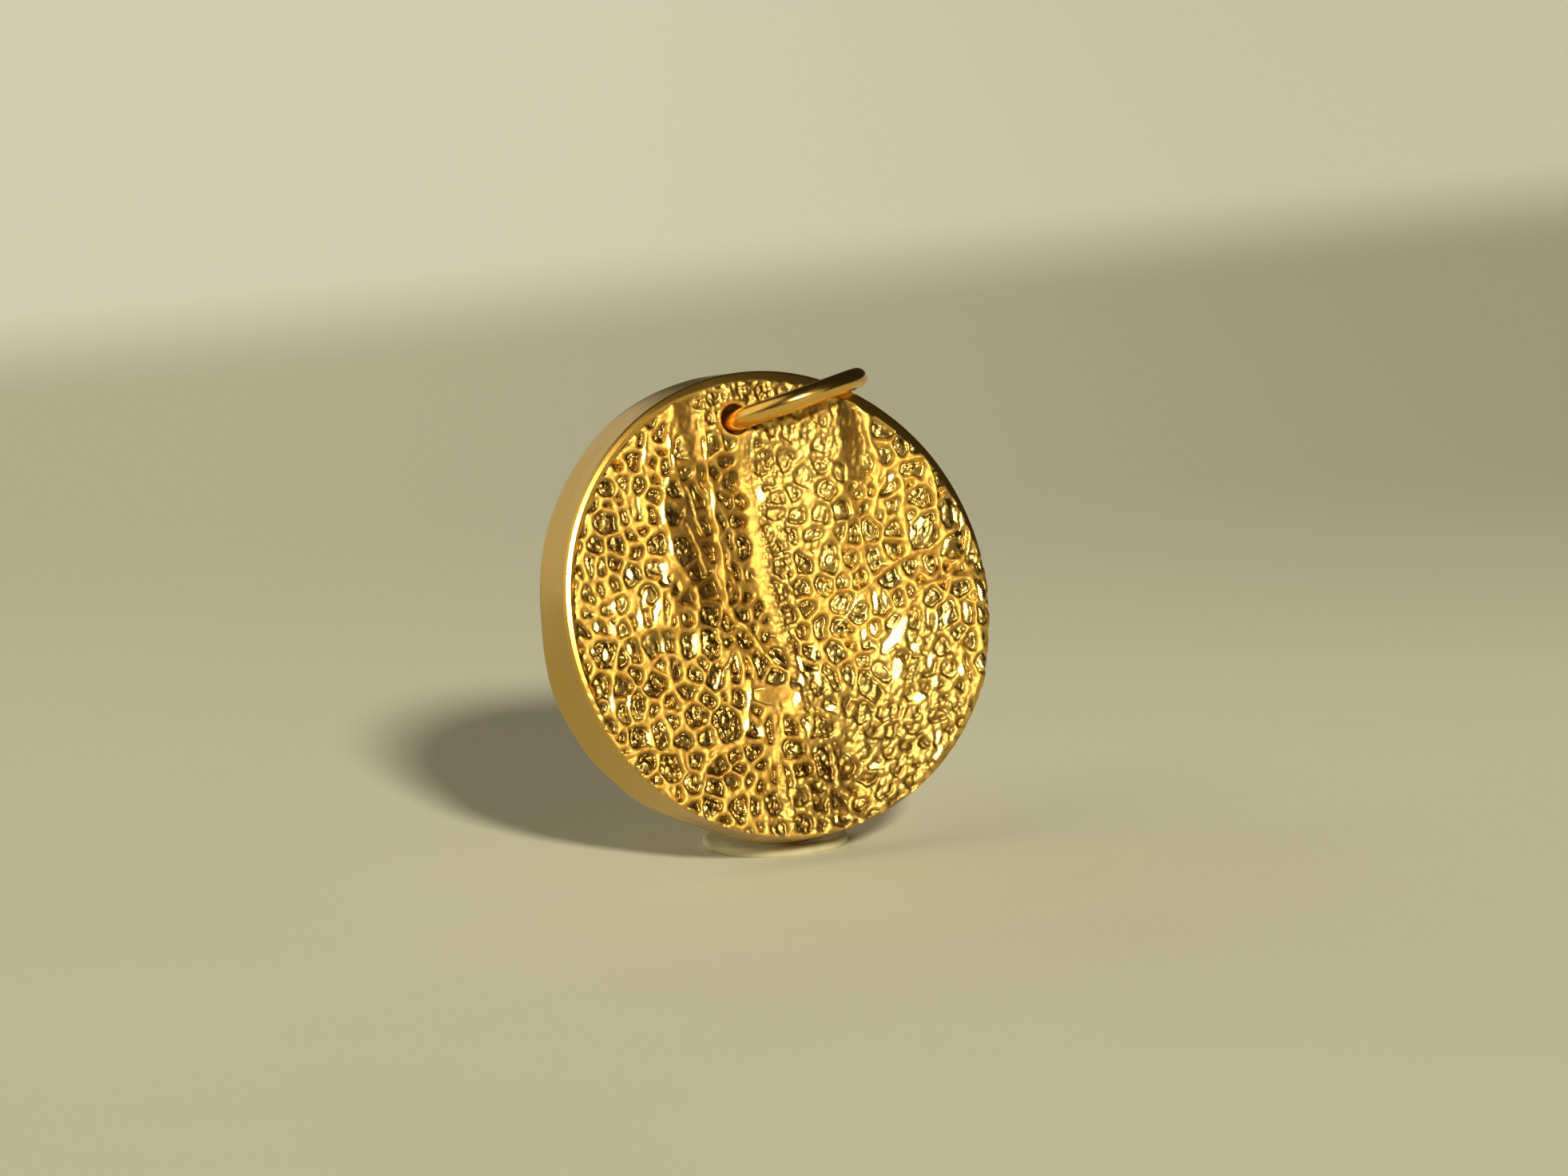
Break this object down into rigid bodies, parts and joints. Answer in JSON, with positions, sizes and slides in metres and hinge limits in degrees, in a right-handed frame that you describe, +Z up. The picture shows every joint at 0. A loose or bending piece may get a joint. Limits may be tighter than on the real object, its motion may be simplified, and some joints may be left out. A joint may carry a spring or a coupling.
{
  "type": "round leaf-cast pendant with jump ring on a small stand pad",
  "caption": "Thick round gold pendant with a cast leaf face, a plain jump ring through its hole, leaning on a small round pad.",
  "frame": {"origin": "centre of the pad's underside, on the surface that the part stands on", "axes": "+Z up; the leaf face looks toward -Y and leans back; +X to the right of a viewer who looks at the leaf face"},
  "size_m": [0.0203, 0.0095, 0.0205],
  "materials": {
    "cast_gold": "cast leaf texture, satin side wall, polished rim bevel",
    "polished_gold": "polished",
    "soft_pad": "matte, slightly waxy"
  },
  "bodies": {
    "pendant": {"pendant_disc": "cast_gold", "stand_pad": "soft_pad"},
    "ring": {"jump_ring": "polished_gold"}
  },
  "joints": [
    {"name": "ring_swing", "type": "hinge", "parent": "pendant", "child": "ring", "pos_m": [-0.00128, 0.00084, 0.0183], "axis": [0, -0.9681, 0.2504], "range_deg": [0, 166]}
  ]
}
